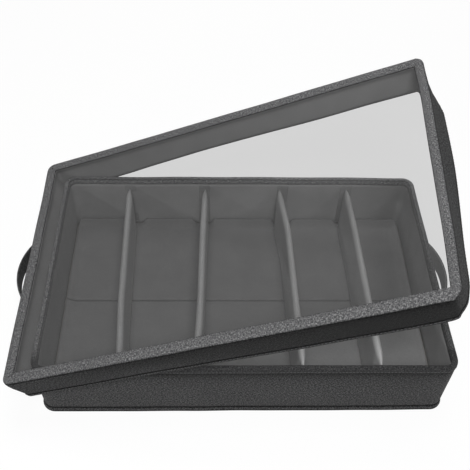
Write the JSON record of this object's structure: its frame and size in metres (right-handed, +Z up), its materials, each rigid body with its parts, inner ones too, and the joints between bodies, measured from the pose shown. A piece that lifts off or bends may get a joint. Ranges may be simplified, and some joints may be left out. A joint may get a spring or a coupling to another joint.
{
  "type": "cutlery storage box",
  "caption": "Rigid fabric cutlery box with a clear-window lid held open, five long compartments between upright dividers, and a strap handle on each side.",
  "frame": {"origin": "on the table under the middle of the tray", "axes": "+X to the right along the tray's length, +Y to the back, +Z up; the lid is hooked over the left wall, and cutlery lies along Y"},
  "size_m": [0.4753, 0.2875, 0.2503],
  "materials": {
    "linen": "heathered dark grey linen-look polyester, plain weave",
    "lining": "smooth mid grey nonwoven lining",
    "divider_cloth": "light grey nonwoven cover",
    "greyboard": "plain greyboard, hidden inside the covers",
    "clear_film": "clear soft vinyl film",
    "hook_tape": "hook and loop tape, dull fine pile"
  },
  "bodies": {
    "tray": {"base_cover": "linen", "base_hem": "linen", "base_underside": "lining", "rim_binding": "linen", "base_lining": "lining", "wall_board_front": "greyboard", "wall_board_back": "greyboard", "wall_board_left_front": "greyboard", "wall_board_left_back": "greyboard", "wall_board_right_front": "greyboard", "wall_board_right_back": "greyboard", "floor_board": "greyboard", "floor_insert_front": "lining", "floor_insert_back": "lining", "loop_strips_front": "hook_tape", "loop_strips_back": "hook_tape", "handle_left_ends": "linen", "handle_right_ends": "linen"},
    "lid": {"lid_border": "linen", "lid_window": "clear_film", "lid_facing": "lining", "lid_cover": "linen", "lid_hem": "linen", "lid_lining": "lining", "lid_board_front": "greyboard", "lid_board_back": "greyboard", "lid_board_left": "greyboard", "lid_board_right": "greyboard"},
    "divider_1": {"divider_1_board": "greyboard", "divider_1_cover": "divider_cloth", "divider_1_tabs": "hook_tape"},
    "divider_2": {"divider_2_board": "greyboard", "divider_2_cover": "divider_cloth", "divider_2_tabs": "hook_tape"},
    "divider_3": {"divider_3_board": "greyboard", "divider_3_cover": "divider_cloth", "divider_3_tabs": "hook_tape"},
    "divider_4": {"divider_4_board": "greyboard", "divider_4_cover": "divider_cloth", "divider_4_tabs": "hook_tape"},
    "handle_left": {"handle_left": "linen"},
    "handle_right": {"handle_right": "linen"}
  },
  "joints": [
    {"name": "lid_tilt", "type": "hinge", "parent": "tray", "child": "lid", "pos_m": [-0.21268, 0, 0.04655], "axis": [0.1713, -0.9817, -0.0837], "range_deg": [-23.34, 60]},
    {"name": "divider_1_lift", "type": "slide", "parent": "tray", "child": "divider_1", "axis": [0, 0, 1], "range_m": [0, 0.038]},
    {"name": "divider_2_lift", "type": "slide", "parent": "tray", "child": "divider_2", "axis": [0, 0, 1], "range_m": [0, 0.072]},
    {"name": "divider_3_lift", "type": "slide", "parent": "tray", "child": "divider_3", "axis": [0, 0, 1], "range_m": [0, 0.072]},
    {"name": "divider_4_lift", "type": "slide", "parent": "tray", "child": "divider_4", "axis": [0, 0, 1], "range_m": [0, 0.072]},
    {"name": "handle_left_lift", "type": "hinge", "parent": "tray", "child": "handle_left", "pos_m": [-0.21215, 0.024, 0.034], "axis": [0, 1, 0], "range_deg": [0, 30]},
    {"name": "handle_right_lift", "type": "hinge", "parent": "tray", "child": "handle_right", "pos_m": [0.21215, 0.024, 0.034], "axis": [0, -1, 0], "range_deg": [0, 30]}
  ]
}
